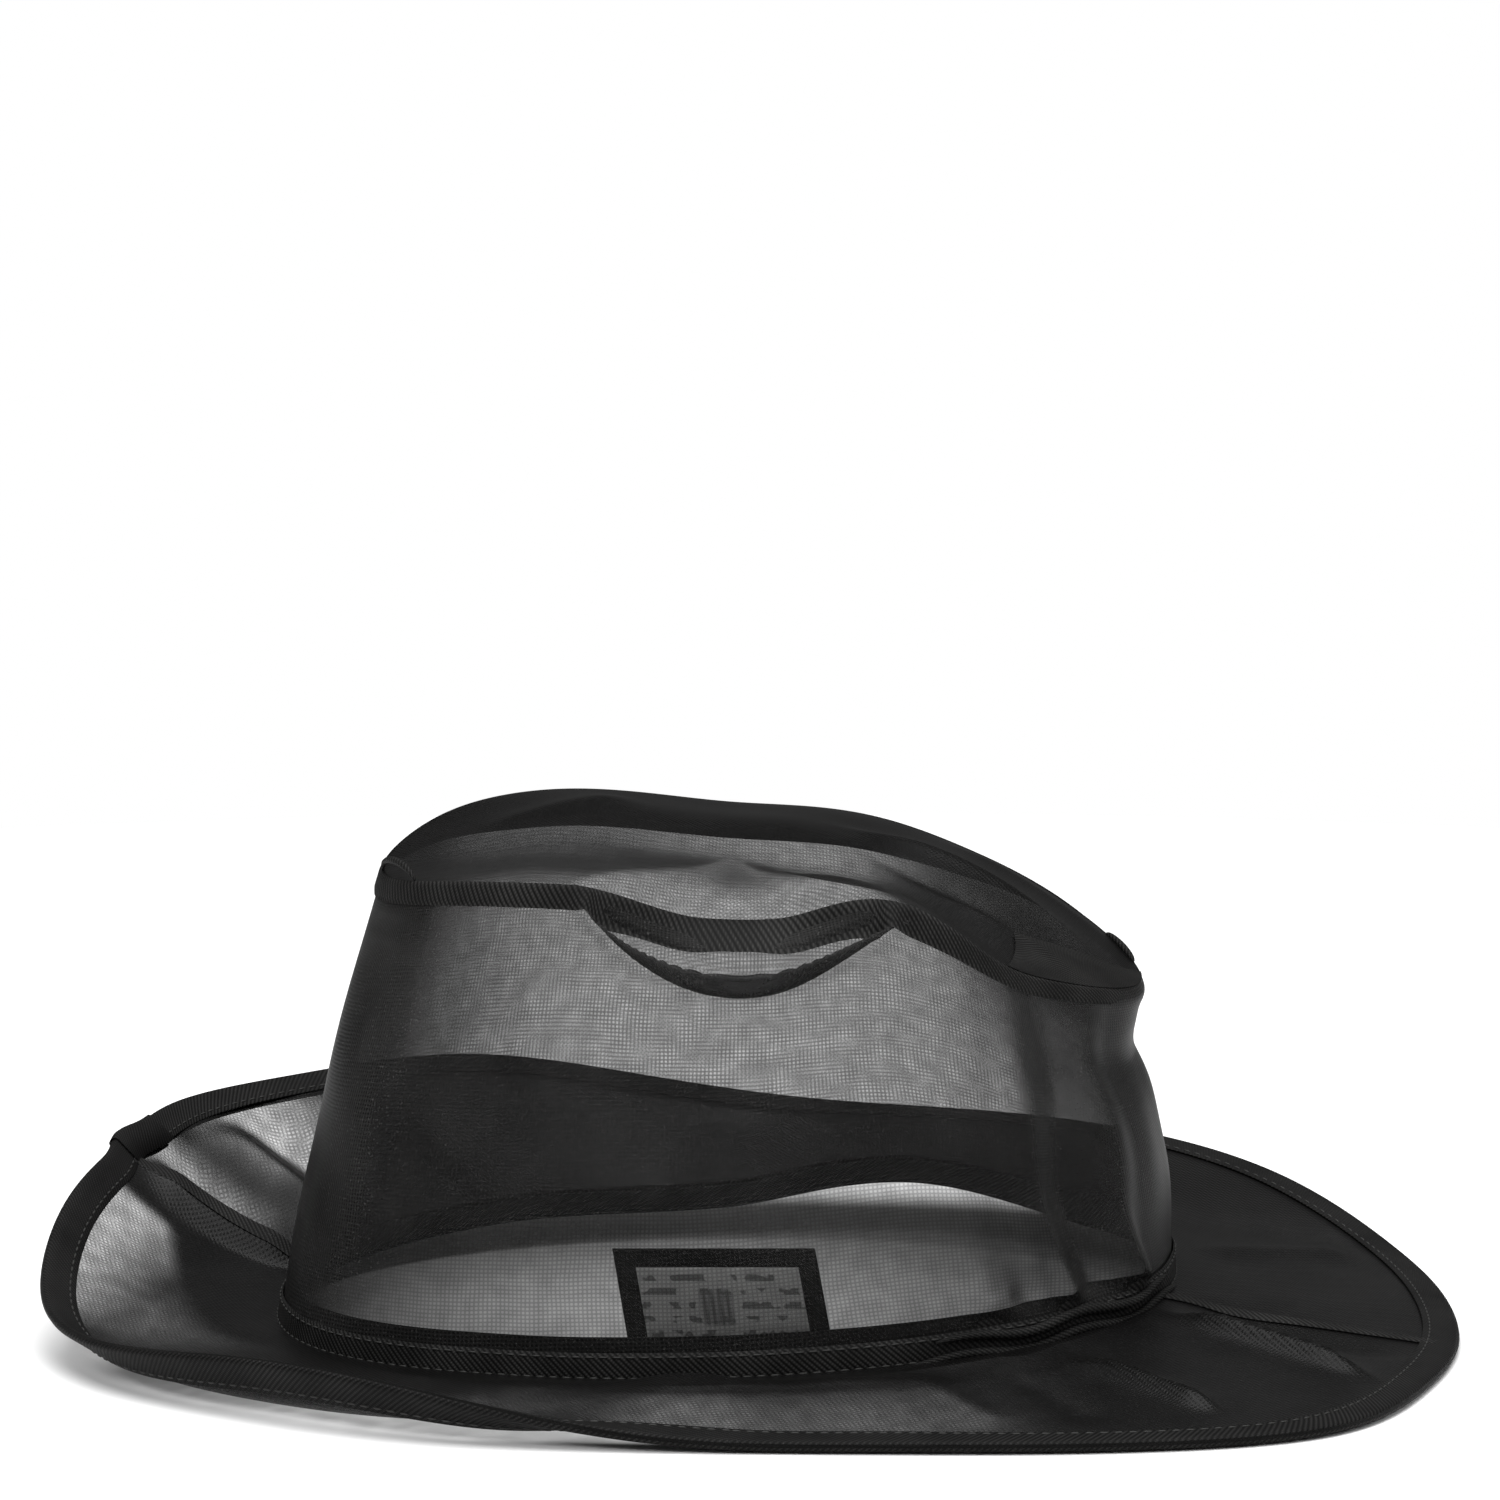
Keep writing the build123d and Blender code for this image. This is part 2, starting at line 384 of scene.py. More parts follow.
def brim(angle, u, lift=0.0):
    """A point of the brim's middle surface, u from 0 at the crown to 1 at its edge."""
    root = base_ring(angle, ROOT_GAP)
    root[..., 2] += ROOT_GAP
    edge = brim_edge(angle)
    edge[..., 2] += BRIM_LIFT
    corner = window(angle, TAB_ANGLE, 7) ** 1.5
    edge = edge + corner[..., None] * np.array(TAB_PUSH)
    u = np.asarray(u, float)
    point = root + (edge - root) * u[..., None]
    turned = u ** brim_power(angle)
    point[..., 2] = root[..., 2] + (edge[..., 2] - root[..., 2]) * turned
    height = point[..., 2] + brim_folds(angle, u, point[..., 0], point[..., 1])
    point[..., 2] = np.maximum(height, LOWEST_CLOTH) + lift
    return point


# --- Meshes -------------------------------------------------------------------------------


def grid_mesh(name, points, uvs, closed=(False, False)):
    """A quad mesh over a grid of points in mm, with a UV map in mm along the cloth."""
    rows, columns = points.shape[:2]
    mesh = bpy.data.meshes.new(name)
    index = np.arange(rows * columns).reshape(rows, columns)
    last_row = rows if closed[0] else rows - 1
    last_column = columns if closed[1] else columns - 1
    faces = []
    corners = []
    for i in range(last_row):
        for j in range(last_column):
            ring = [(i, j), (i + 1, j), (i + 1, j + 1), (i, j + 1)]
            faces.append([int(index[a % rows, b % columns]) for a, b in ring])
            corners.extend(ring)
    mesh.from_pydata((points.reshape(-1, 3) * MM).tolist(), [], faces)
    layer = mesh.uv_layers.new(name="cloth_mm")
    corners = np.array(corners)
    wide = uvs(corners[:, 0], corners[:, 1])
    layer.data.foreach_set("uv", wide.astype(np.float32).ravel())
    mesh.polygons.foreach_set("use_smooth", [True] * len(faces))
    mesh.update()
    piece = bpy.data.objects.new(name, mesh)
    bpy.context.scene.collection.objects.link(piece)
    return piece


def arc(start, end, step=1.0):
    """Angles from start to end, in degrees, as radians."""
    count = max(2, int(round(abs(end - start) / step)) + 1)
    return np.radians(np.linspace(start, end, count))


def lengths(points):
    """Distance along a line of points."""
    steps = np.linalg.norm(np.diff(points, axis=0), axis=1)
    return np.concatenate([[0], np.cumsum(steps)])


def surface(name, function, angles, shares, cut_flat=False):
    """A sheet over angles and shares of a surface function, with its cloth lengths as UVs."""
    a, s = np.meshgrid(angles, shares, indexing="ij")
    points = function(a, s)
    across = lengths(points[:, len(shares) // 2])
    along = lengths(points[len(angles) // 2])

    def uvs(i, j):
        if cut_flat:
            return points[i, j, :2]
        return np.stack([across[i], along[j]], axis=-1)

    return grid_mesh(name, points, uvs)


def disk(name, function, count):
    """A sheet over a whole disk, on a square grid pressed round."""
    side = np.linspace(-1, 1, count)
    s, t = np.meshgrid(side, side, indexing="ij")
    x = s * np.sqrt(1 - t**2 / 2)
    y = t * np.sqrt(1 - s**2 / 2)
    points = function(np.arctan2(y, x), np.minimum(np.hypot(x, y), 1))
    return grid_mesh(name, points, lambda i, j: points[i, j, :2])


def band(name, low_line, high_line, outward, thick, rows=6, closed=True):
    """A flat tape between two lines of points, thick mm through, as one closed solid."""
    shares = np.linspace(0, 1, rows)
    rounding = np.sqrt(np.clip(1 - (2 * shares - 1) ** 8, 0, 1))
    face = low_line[:, None] + (high_line - low_line)[:, None] * shares[None, :, None]
    offset = outward[:, None] * (thick / 2 * rounding)[None, :, None]
    points = np.concatenate([face + offset, (face - offset)[:, ::-1]], axis=1)
    along = lengths(low_line)
    wide = np.linalg.norm(high_line[0] - low_line[0])
    height = np.concatenate([shares, shares[::-1]]) * wide

    def uvs(i, j):
        last = len(along)
        step = along[-1] + np.linalg.norm(low_line[0] - low_line[-1])
        u = np.where(i >= last, step, along[i % last])
        return np.stack([u, height[j % len(height)]], axis=-1)

    return grid_mesh(name, points, uvs, closed=(closed, True))


# --- Materials ----------------------------------------------------------------------------


class Nodes:
    """Short names for adding shader nodes to one material."""

    def __init__(self, name):
        self.material = bpy.data.materials.new(name)
        self.material.use_nodes = True
        self.tree = self.material.node_tree
        self.shader = self.tree.nodes["Principled BSDF"]

    def add(self, kind, **inputs):
        node = self.tree.nodes.new("ShaderNode" + kind)
        for key, value in inputs.items():
            self.feed(node.inputs[key.replace("_", " ")], value)
        return node

    def feed(self, socket, value):
        if isinstance(value, bpy.types.NodeSocket):
            self.tree.links.new(value, socket)
        else:
            socket.default_value = value

    def maths(self, operation, a, b=0.0, c=0.0, clamp=False):
        node = self.tree.nodes.new("ShaderNodeMath")
        node.operation = operation
        node.use_clamp = clamp
        for socket, value in zip(node.inputs, (a, b, c)):
            self.feed(socket, value)
        return node.outputs[0]

    def stretch(self, value, low, high, to_low=0.0, to_high=1.0, soft=False):
        node = self.tree.nodes.new("ShaderNodeMapRange")
        node.interpolation_type = "SMOOTHSTEP" if soft else "LINEAR"
        for socket, given in zip(node.inputs, (value, low, high, to_low, to_high)):
            self.feed(socket, given)
        return node.outputs[0]

    def cloth_place(self):
        """The two cloth lengths, in mm, as separate sockets."""
        uv = self.tree.nodes.new("ShaderNodeUVMap")
        uv.uv_map = "cloth_mm"
        split = self.add("SeparateXYZ", Vector=uv.outputs[0])
        return split.outputs[0], split.outputs[1]

    def noise(self, scale, detail=3.0, vector=None):
        node = self.add("TexNoise", Scale=scale, Detail=detail)
        if vector is not None:
            self.feed(node.inputs["Vector"], vector)
        return node.outputs["Fac"]

    def ripple(self, length, pitch, turn=0.0):
        """A wave from 0 to 1 along a length."""
        phase = self.maths("MULTIPLY_ADD", length, TURN / pitch, turn)
        return self.maths("MULTIPLY_ADD", self.maths("COSINE", phase), 0.5, 0.5)

    def set(self, **values):
        for key, value in values.items():
            self.feed(self.shader.inputs[key.replace("_", " ")], value)

    def bump(self, height, distance, strength=1.0):
        node = self.add("Bump", Height=height, Distance=distance, Strength=strength)
        self.feed(self.shader.inputs["Normal"], node.outputs[0])


# Mesh attribute that holds the painted shade of the brim's folds.
PAINTED_FOLD_SHADE = "painted_fold_shade"
SATIN_PALE = (0.95, 0.95, 0.94, 1)
SATIN_MARKS = (0.22, 0.22, 0.22, 1)
BLOCK_CENTRE = (21.0, 12.0)
BLACK = (0.0075, 0.0074, 0.0072)
MESH_BLACK = (0.0055, 0.0054, 0.0053)
CROWN_BLACK = (0.0165, 0.0163, 0.016)
TIP_BLACK = (0.004, 0.0039, 0.0038)
BINDING_BLACK = (0.0046, 0.0045, 0.0044)


def sheer_cloth(
    name,
    pitch,
    openness,
    turn=0.0,
    rough=0.42,
    closes=(0.06, 0.58),
    darker_span=None,
    least=0.35,
    far=1.0,
    level=0.05,
    tint=MESH_BLACK,
    folded=False,
):
    """Sheer mesh: fine threads with holes between them, closing up as it is seen edge on.

    pitch is the threads' spacing in mm, openness how much shows through and turn the weave's angle.
    closes gives how far edge on the cloth is seen when it starts and ends to close.
    The two places along the first cloth length between which it grows less see-through, and so darker, are
    given as a pair; least is what that leaves open, and far what is left open on the hat's far side.
    folded reads the painted shade of the brim's folds from a mesh attribute, which makes the cloth less
    see-through and so darker there.
    """
    n = Nodes(name)
    u, v = n.cloth_place()
    place = n.add("CombineXYZ", X=u, Y=v).outputs[0]
    drift = n.noise(0.035, 2, place)
    across = n.maths("MULTIPLY_ADD", u, math.cos(turn), n.maths("MULTIPLY", v, math.sin(turn)))
    along = n.maths("MULTIPLY_ADD", v, math.cos(turn), n.maths("MULTIPLY", u, -math.sin(turn)))
    warp = n.ripple(n.maths("MULTIPLY_ADD", drift, 2.6, across), pitch)
    weft = n.ripple(n.maths("MULTIPLY_ADD", drift, 2.0, along), pitch * 0.96)
    holes = n.maths("MULTIPLY", warp, weft)
    hole = n.stretch(holes, 0.06, 0.5, 0.0, 1.0, soft=True)
    facing = n.add("LayerWeight", Blend=0.5).outputs["Facing"]
    closing = n.stretch(facing, closes[0], closes[1], 1.0, 0.06, soft=True)
    slubs = n.stretch(n.noise(0.22, 4, place), 0.35, 0.7, 0.86, 1.12)
    open_share = n.maths("MULTIPLY", n.maths("MULTIPLY", closing, openness), slubs)
    # Less see-through, and so darker, over a span along the cloth and on the hat's far side.
    if darker_span:
        less = n.stretch(u, darker_span[0], darker_span[1], 1.0, least, soft=True)
        far_side = n.stretch(v, 20, 70, soft=True)
        beyond = n.maths("MULTIPLY", far_side, n.stretch(u, -105, -75, soft=True))
        less = n.maths("MULTIPLY", less, n.stretch(beyond, 0.0, 1.0, 1.0, far))
        open_share = n.maths("MULTIPLY", open_share, less)
    # Painted shade in the brim's folds: less shows through the cloth there, so it looks darker.
    if folded:
        light = n.tree.nodes.new("ShaderNodeAttribute")
        light.attribute_name = PAINTED_FOLD_SHADE
        open_share = n.maths("MULTIPLY", open_share, light.outputs["Fac"])
    through = n.maths("MULTIPLY", n.maths("MULTIPLY_ADD", hole, 0.42, 0.7), open_share, clamp=True)
    n.set(Alpha=n.maths("SUBTRACT", 1.0, through, clamp=True))
    shade = n.stretch(n.noise(0.05, 3, place), 0.3, 0.7, 0.7, 1.3)
    # Painted glints: random specks of the threads made brighter in the base colour.
    glints = n.stretch(n.noise(1.6, 0, place), 0.66, 0.8, 0.0, 2.2)
    thread = n.maths("MULTIPLY_ADD", hole, -0.5, 1.0)
    tone = n.maths("ADD", n.maths("MULTIPLY", shade, thread), n.maths("MULTIPLY", glints, thread))
    mix = n.add("VectorMath", Vector=tint)
    mix.operation = "SCALE"
    n.feed(mix.inputs["Scale"], tone)
    n.set(Base_Color=mix.outputs[0], Roughness=rough, Specular_IOR_Level=level)
    n.bump(n.maths("SUBTRACT", 1.0, holes), 0.00012, 0.5)
    return n.material


def twill(name, tint, rib=1.5, rough=0.6):
    """Black twill tape: fine slanted ribs, with painted glints on a few threads."""
    n = Nodes(name)
    u, v = n.cloth_place()
    place = n.add("CombineXYZ", X=u, Y=v).outputs[0]
    ribs = n.ripple(n.maths("ADD", u, n.maths("MULTIPLY", v, 1.1)), rib)
    picks = n.ripple(n.maths("SUBTRACT", u, n.maths("MULTIPLY", v, 0.9)), rib * 0.62)
    weave = n.maths("MULTIPLY", ribs, n.maths("MULTIPLY_ADD", picks, 0.5, 0.5))
    # Painted glints: random specks of the ribs made brighter in the base colour.
    glints = n.stretch(n.noise(2.1, 1, place), 0.6, 0.78, 0.0, 2.6)
    patch = n.stretch(n.noise(0.06, 3, place), 0.3, 0.7, 0.6, 1.4)
    shade = n.maths("MULTIPLY", patch, n.maths("MULTIPLY_ADD", weave, 3.2, 0.25))
    shade = n.maths("ADD", shade, n.maths("MULTIPLY", glints, weave))
    mix = n.add("VectorMath", Vector=tint)
    mix.operation = "SCALE"
    n.feed(mix.inputs["Scale"], shade)
    n.set(Base_Color=mix.outputs[0], Roughness=rough, Specular_IOR_Level=0.07)
    n.bump(weave, 0.0002, 0.7)
    return n.material


def woven_label(name):
    """Pale satin with soft grey marks in rows, none of them a letter."""
    n = Nodes(name)
    u, v = n.cloth_place()
    place = n.add("CombineXYZ", X=u, Y=v).outputs[0]
    rows = n.stretch(n.ripple(v, 3.1), 0.42, 0.62, soft=True)
    words = n.stretch(n.noise(0.3, 1, place), 0.5, 0.56, soft=True)
    from_block_u = n.maths("ABSOLUTE", n.maths("SUBTRACT", u, BLOCK_CENTRE[0]))
    from_block_v = n.maths("ABSOLUTE", n.maths("SUBTRACT", v, BLOCK_CENTRE[1]))
    block_u = n.stretch(from_block_u, 3.2, 4.0, 1.0, 0.0, soft=True)
    block_v = n.stretch(from_block_v, 3.6, 4.4, 1.0, 0.0, soft=True)
    dots = n.maths("MULTIPLY_ADD", n.ripple(u, 1.7, 1.0), 0.5, 0.5)
    block = n.maths("MULTIPLY", n.maths("MULTIPLY", block_u, block_v), dots)
    ink = n.maths("MAXIMUM", n.maths("MULTIPLY", rows, words), block)
    mix = n.tree.nodes.new("ShaderNodeMix")
    mix.data_type = "RGBA"
    n.feed(mix.inputs["Factor"], n.maths("MULTIPLY", ink, 0.85))
    mix.inputs[6].default_value = SATIN_PALE
    mix.inputs[7].default_value = SATIN_MARKS
    n.set(Base_Color=mix.outputs[2], Roughness=0.5, Specular_IOR_Level=0.3)
    weave = n.maths("MULTIPLY", n.ripple(u, 0.5), n.ripple(v, 0.5))
    n.bump(weave, 0.00005, 0.5)
    return n.material


def plain(name, color, rough, level=0.3):
    n = Nodes(name)
    n.set(Base_Color=(*color, 1), Roughness=rough, Specular_IOR_Level=level)
    return n.material


crown_cloth = sheer_cloth("crown_mesh", 0.95, 0.5, turn=0.05, closes=(-0.04, 0.56), tint=CROWN_BLACK)
tip_cloth = sheer_cloth(
    "tip_mesh",
    0.95,
    0.52,
    turn=0.6,
    rough=0.36,
    closes=(0.5, 0.88),
    darker_span=(18, 46),
    least=0.12,
    tint=TIP_BLACK,
)
BRIM_MESH = {
    "closes": (0.45, 0.96),
    "darker_span": (30, 95),
    "far": 0.3,
    "level": 0.09,
    "folded": True,
}
upper_cloth = sheer_cloth("brim_mesh_upper", 1.0, 0.64, turn=0.5, rough=0.32, **BRIM_MESH)
under_cloth = sheer_cloth("brim_mesh_under", 1.06, 0.64, turn=0.25, **BRIM_MESH)
tape_twill = twill("tape_twill", BLACK)
binding_twill = twill("binding_twill", BINDING_BLACK, rib=1.4, rough=0.55)
ribbon = twill("label_ribbon", BLACK, rib=0.8)
thread = plain("thread", (0.02, 0.02, 0.019), 0.55)
boning = plain("boning", (0.03, 0.03, 0.03), 0.45)
label_satin = woven_label("label_satin")


def dress(piece, material):
    piece.data.materials.clear()
    piece.data.materials.append(material)
    return piece


# --- Crown pieces -------------------------------------------------------------------------

# The side cloth runs from the crown's foot up to the tip seam; it is not attached to the hat or the tip.
WALL_ROWS = 121
FLAP_ANGLE = -17.0
FLAP_HALF = 19.0
FLAP_REACH = 0.21
LOOP_RADIUS = 0.9
ROLL_RADIUS = 1.25
# Rolls of the base tape: name, first and last angle, height and distance out in mm.
ROLLS = [("lower", -66, -8, 1.2, 1.7), ("upper", -58, -14, 5.2, 2.1)]


def collapse(piece):
    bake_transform(piece)


def crown_walls():
    for side, start in (("near", SEAM - 180), ("far", SEAM)):
        angles = arc(start, start + 180, 0.75)
        shares = np.linspace(0, 1, WALL_ROWS)
        piece = surface(f"crown_side_{side}_cloth", crown_side, angles, shares)
        dress(piece, crown_cloth)
        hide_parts(f"crown_side_{side}")
        collapse(piece)


def crown_top():
    piece = disk("crown_tip_cloth", crown_tip, 161)
    dress(piece, tip_cloth)
    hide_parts("crown_tip")
    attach(piece, "crown_tip")


def wall_height(angles):
    """The length of the crown's side from its base to the tip seam, in mm."""
    return np.linalg.norm(crown_side(angles, 0 * angles + 1) - crown_side(angles, 0 * angles), axis=-1)


def tube(name, path, radius):
    """A round roll of cloth along a path of points, tapered to nothing at both ends."""
    along = lengths(path)
    share = along / along[-1]
    size = radius * np.clip(np.sin(math.pi * share), 0.02, 1) ** 0.35
    forward = unit(np.gradient(path, axis=0))
    aside = unit(np.cross(forward, np.array([0, 0, 1.0])))
    above = np.cross(aside, forward)
    turns = np.linspace(0, TURN, 10, endpoint=False)
    rings = aside[:, None] * np.cos(turns)[:, None] + above[:, None] * np.sin(turns)[:, None]
    points = path[:, None] + rings * size[:, None, None]
    around = np.append(turns * radius, TURN * radius)

    def uvs(i, j):
        return np.stack([along[i], around[j]], axis=-1)

    return grid_mesh(name, points, uvs, closed=(False, True))


def rolled_edges():
    """Where the band is crumpled at the front, its tape lies in two small rolls."""
    for name, start, end, height, out in ROLLS:
        angles = arc(start, end, 0.75)
        ripple = 0.7 * np.sin(np.degrees(angles) / 3.1)
        path = crown_side(angles, (height + ripple) / wall_height(angles), out)
        piece = tube(f"base_tape_roll_{name}", path, ROLL_RADIUS)
        dress(piece, tape_twill)
        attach(piece, "hat")


def seam_loop(name, start, end, rise):
    """A small loop of seam allowance that stands up from the tip seam between two angles."""
    turns = np.linspace(0, math.pi, 24)
    foot, ahead = tip_seam(np.radians([start, end]))
    share = (1 - np.cos(turns)) / 2
    path = foot + (ahead - foot) * share[:, None] + np.array(rise) * np.sin(turns)[:, None]
    piece = tube(name, path, LOOP_RADIUS)
    dress(piece, tape_twill)
    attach(piece, "crown_tip")


def front_flap():
    """The end of the front seam's tape, folded over onto the tip as a small triangle."""

    def flap(angle, share):
        off = np.degrees(angle) - FLAP_ANGLE
        reach = FLAP_REACH * np.clip(1 - np.abs(off) / FLAP_HALF, 0, 1)
        point = crown_tip(angle, 1.004 - reach * share)
        puff = np.sin(math.pi * share) * window(angle, FLAP_ANGLE, FLAP_HALF)
        point[..., 2] += 0.5 + 0.8 * puff
        return point

    inside = FLAP_HALF - 0.1
    angles = arc(FLAP_ANGLE - inside, FLAP_ANGLE + inside, 0.6)
    piece = surface("front_seam_flap", flap, angles, np.linspace(0, 1, 24))
    dress(piece, tape_twill)
    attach(piece, "crown_tip")


def wall_band(name, from_mm, to_mm, out, thick, angles, at_top=False, closed=True):
    """A tape along the crown's side, between two distances from its lower or upper edge."""
    height = wall_height(angles)
    shares = [distance / height for distance in (from_mm, to_mm)]
    if at_top:
        shares = [1 - share for share in shares][::-1]
    low, high = (crown_side(angles, share, out) for share in shares)
    tangent = unit(crown_side(angles + 0.01, shares[0]) - crown_side(angles - 0.01, shares[0]))
    outward = unit(np.cross(tangent, unit(high - low)))
    return band(name, low, high, outward, thick, closed=closed)


def crown_tapes():
    ring = arc(0, 359.25, 0.75)
    wider = np.maximum(dent(ring), 0.5 * window(ring, -55, 22)) + smooth(1.6 * window(ring, 95, 90))
    narrower = 1.8 * window(ring, -12, 42)
    dented = TIP_TAPE_HEIGHT + TIP_TAPE_WIDER * np.minimum(wider, 1) - narrower
    tucked = 0.45 - 1.4 * window(ring, 3, 22)
    band_top = SWEATBAND_HEIGHT - 4.0 * smooth(1.5 * window(ring, 95, 100))
    rows = [
        ("base_tape", "hat", -0.4, BASE_TAPE_HEIGHT, 0.6, False),
        ("sweatband", "hat", 0.0, band_top, -0.8, False),
        ("crown_tip_tape", "crown_tip", 0.0, dented, tucked, True),
    ]
    for node, body, start, end, out, at_top in rows:
        piece = wall_band(f"{node}_twill", start, end, out, TAPE_THICK, ring, at_top)
        dress(piece, tape_twill)
        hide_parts(node)
        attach(piece, body)


def crown_seam_tape(name, centre, low_share, high_share):
    """A tape up the inside of the crown over one of its seams."""
    shares = np.linspace(low_share, high_share, 60)
    half = SEAM_TAPE_WIDTH / 2
    lines = []
    for offset in (-half, half):
        angle = math.radians(centre) + offset / 84 + 0 * shares
        lines.append(crown_side(angle, shares, -0.8))
    outward = unit(np.cross(unit(lines[1] - lines[0]), unit(np.gradient(lines[0], axis=0))))
    piece = band(f"{name}_twill", lines[0], lines[1], outward, 0.6, closed=False)
    dress(piece, tape_twill)
    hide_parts(name)
    collapse(piece)


# --- Brim pieces --------------------------------------------------------------------------

CLOTH_END = 0.97
# Each quarter of the brim: its first and last angle, the rectangle it is cut from and its area.
QUADRANTS = {
    ("near", "front"): (-90, SEAM, (0.170, 0.135), 0.0100),
    ("far", "front"): (SEAM, 90, (0.170, 0.165), 0.0128),
    ("far", "back"): (90, SEAM + 180, (0.155, 0.140), 0.0112),
    ("near", "back"): (SEAM + 180, 270, (0.160, 0.165), 0.0129),
}
# Upper halves of sections along the brim's edge: distance in from the edge, and height.
BINDING_OUTSIDE = [(0.0, 0.0), (0.25, 0.75), (0.9, 1.1), (3.0, 1.08), (6.0, 1.02), (8.4, 0.98), (8.6, 0.85)]
BINDING_INSIDE = [(8.5, 0.6), (6.0, 0.58), (3.0, 0.6), (1.2, 0.55), (0.7, 0.0)]
LAPPED_END = [(-0.45, 0.0), (-0.2, 0.95), (0.8, 1.5), (8.9, 1.4), (9.0, 1.05), (0.6, 1.15), (0.1, 0.0)]
BONING_SECTION = [(0.95, -0.35), (2.1, -0.35), (2.1, 0.35), (0.95, 0.35)]
STITCH_INSET = 7.0
STITCH_HEIGHT = 1.02
INSIDE_BINDING = 0.93
BINDING_WIDTH = 8.6
BINDING_CLEAR = 1.5


def fold(piece):
    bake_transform(piece)


def brim_cloths():
    layers = (("upper", LAYER_LIFT, upper_cloth), ("under", -LAYER_LIFT, under_cloth))
    for layer, lift, cloth in layers:
        for (side, half), (start, end, cut, area) in QUADRANTS.items():
            shares = np.linspace(0, CLOTH_END, 60)
            piece = surface(
                f"brim_{layer}_{side}_{half}_cloth",
                lambda angle, u: brim(angle, u, lift),
                arc(start, end, 0.6),
                shares,
                cut_flat=True,
            )
            angle, u = np.meshgrid(arc(start, end, 0.6), shares, indexing="ij")
            # Painted shade for the brim's folds, stored on each point for its material.
            light = piece.data.attributes.new(PAINTED_FOLD_SHADE, "FLOAT", "POINT")
            light.data.foreach_set("value", painted_fold_shade(angle, u).astype(np.float32).ravel())
            dress(piece, cloth)
            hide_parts(f"brim_{layer}_{half}_{side}", f"brim_{layer}_{side}")
            fold(piece)


# Painted shade over the folds at the back of the brim: where it falls, the patches left open where light
# comes through, a slit of shade across the far patch, and what the shade leaves open; all angles in
# degrees.
PAINTED_SHADE_SPAN = (165, 62)
BACK_PATCH = (169, 206)
MIDDLE_PATCH = (160.0, 6.4)
FAR_PATCH = (144, 11)
FAR_SLIT = (147, 1.6)
PAINTED_SHADE_OPEN = 0.1


def painted_fold_shade(angle, u):
    """Painted shade in the brim's folds, as how open it leaves the cloth: from 1 where light comes through
    down to 0.1 in the shade.
    """
    degrees = np.degrees(angle) % 360
    inward = smooth((u - 0.58 + (degrees - 170) * 0.019) / 0.14)
    back_patch = inward * smooth((degrees - BACK_PATCH[0]) / 3) * smooth((BACK_PATCH[1] - degrees) / 10)
    middle_patch = window(angle, *MIDDLE_PATCH) ** 0.5 * smooth((u - 0.28) / 0.14)
    slit = 0.7 * window(angle, *FAR_SLIT) * smooth((u - 0.42) / 0.1) * smooth((0.78 - u) / 0.1)
    far_patch = window(angle, *FAR_PATCH) ** 0.7 * smooth((u - 0.34) / 0.16) * (1 - slit)
    patches = np.maximum(np.maximum(back_patch, middle_patch), far_patch)
    # How much painted shade falls at each angle round the back of the brim.
    behind = window(angle, *PAINTED_SHADE_SPAN) ** 0.5
    return 1 - behind * (1 - np.maximum(patches, PAINTED_SHADE_OPEN))


def brim_frame(angles):
    """The brim's edge with the directions inward along the cloth and up from it."""
    edge = brim(angles, 0 * angles + 1)
    inward = unit(brim(angles, 0 * angles + INSIDE_BINDING) - edge)
    lowest = (BINDING_CLEAR - edge[..., 2]) / BINDING_WIDTH
    inward[..., 2] = np.maximum(inward[..., 2], lowest)
    inward = unit(inward)
    ahead = brim(angles + 0.005, 0 * angles + 1)
    behind = brim(angles - 0.005, 0 * angles + 1)
    upward = -unit(np.cross(unit(ahead - behind), inward))
    return edge, inward, upward


def edge_sweep(name, angles, profile):
    """A closed section of (distance in, height) swept along the brim's edge."""
    edge, inward, upward = brim_frame(angles)
    profile = np.array(profile)
    points = edge[:, None] + inward[:, None] * profile[None, :, :1] + upward[:, None] * profile[None, :, 1:]
    along = lengths(edge)
    around = np.append(lengths(profile), 0)

    def uvs(i, j):
        return np.stack([along[i], around[j]], axis=-1)

    return grid_mesh(name, points, uvs, closed=(False, True))


def both_halves(upper):
    """A closed section from its upper half, which starts and ends at height 0."""
    return upper + [(x, -z) for x, z in upper[-2:0:-1]]


def stitches(name, path, outward, gap=3.1, length=2.1, radius=0.24):
    """A row of short threads lying along a path of points."""
    along = lengths(path)
    centres = np.arange(gap / 2, along[-1], gap)
    ring = np.linspace(0, TURN, 6, endpoint=False)
    stations = np.linspace(-0.5, 0.5, 5)
    swell = np.sqrt(np.clip(1 - (2 * stations) ** 4, 0.02, 1))
    points = []
    faces = []
    for centre in centres:
        at = np.array([np.interp(centre, along, path[:, k]) for k in range(3)])
        ahead = np.array([np.interp(centre + 0.5, along, path[:, k]) for k in range(3)])
        out = unit(np.array([np.interp(centre, along, outward[:, k]) for k in range(3)]))
        forward = unit(ahead - at + 1e-9)
        aside = np.cross(forward, out)
        first = len(points)
        for station, size in zip(stations, swell):
            for turn in ring:
                away = aside * math.cos(turn) + out * math.sin(turn)
                points.append(at + forward * station * length + away * radius * size)
        for i in range(len(stations) - 1):
            for j in range(len(ring)):
                k = (j + 1) % len(ring)
                low = first + i * len(ring)
                faces.append((low + j, low + k, low + len(ring) + k, low + len(ring) + j))
        last = first + (len(stations) - 1) * len(ring)
        faces.append(tuple(first + j for j in range(len(ring)))[::-1])
        faces.append(tuple(last + j for j in range(len(ring))))
    mesh = bpy.data.meshes.new(name)
    mesh.from_pydata((np.array(points) * MM).tolist(), [], faces)
    mesh.polygons.foreach_set("use_smooth", [True] * len(faces))
    piece = bpy.data.objects.new(name, mesh)
    bpy.context.scene.collection.objects.link(piece)
    return piece


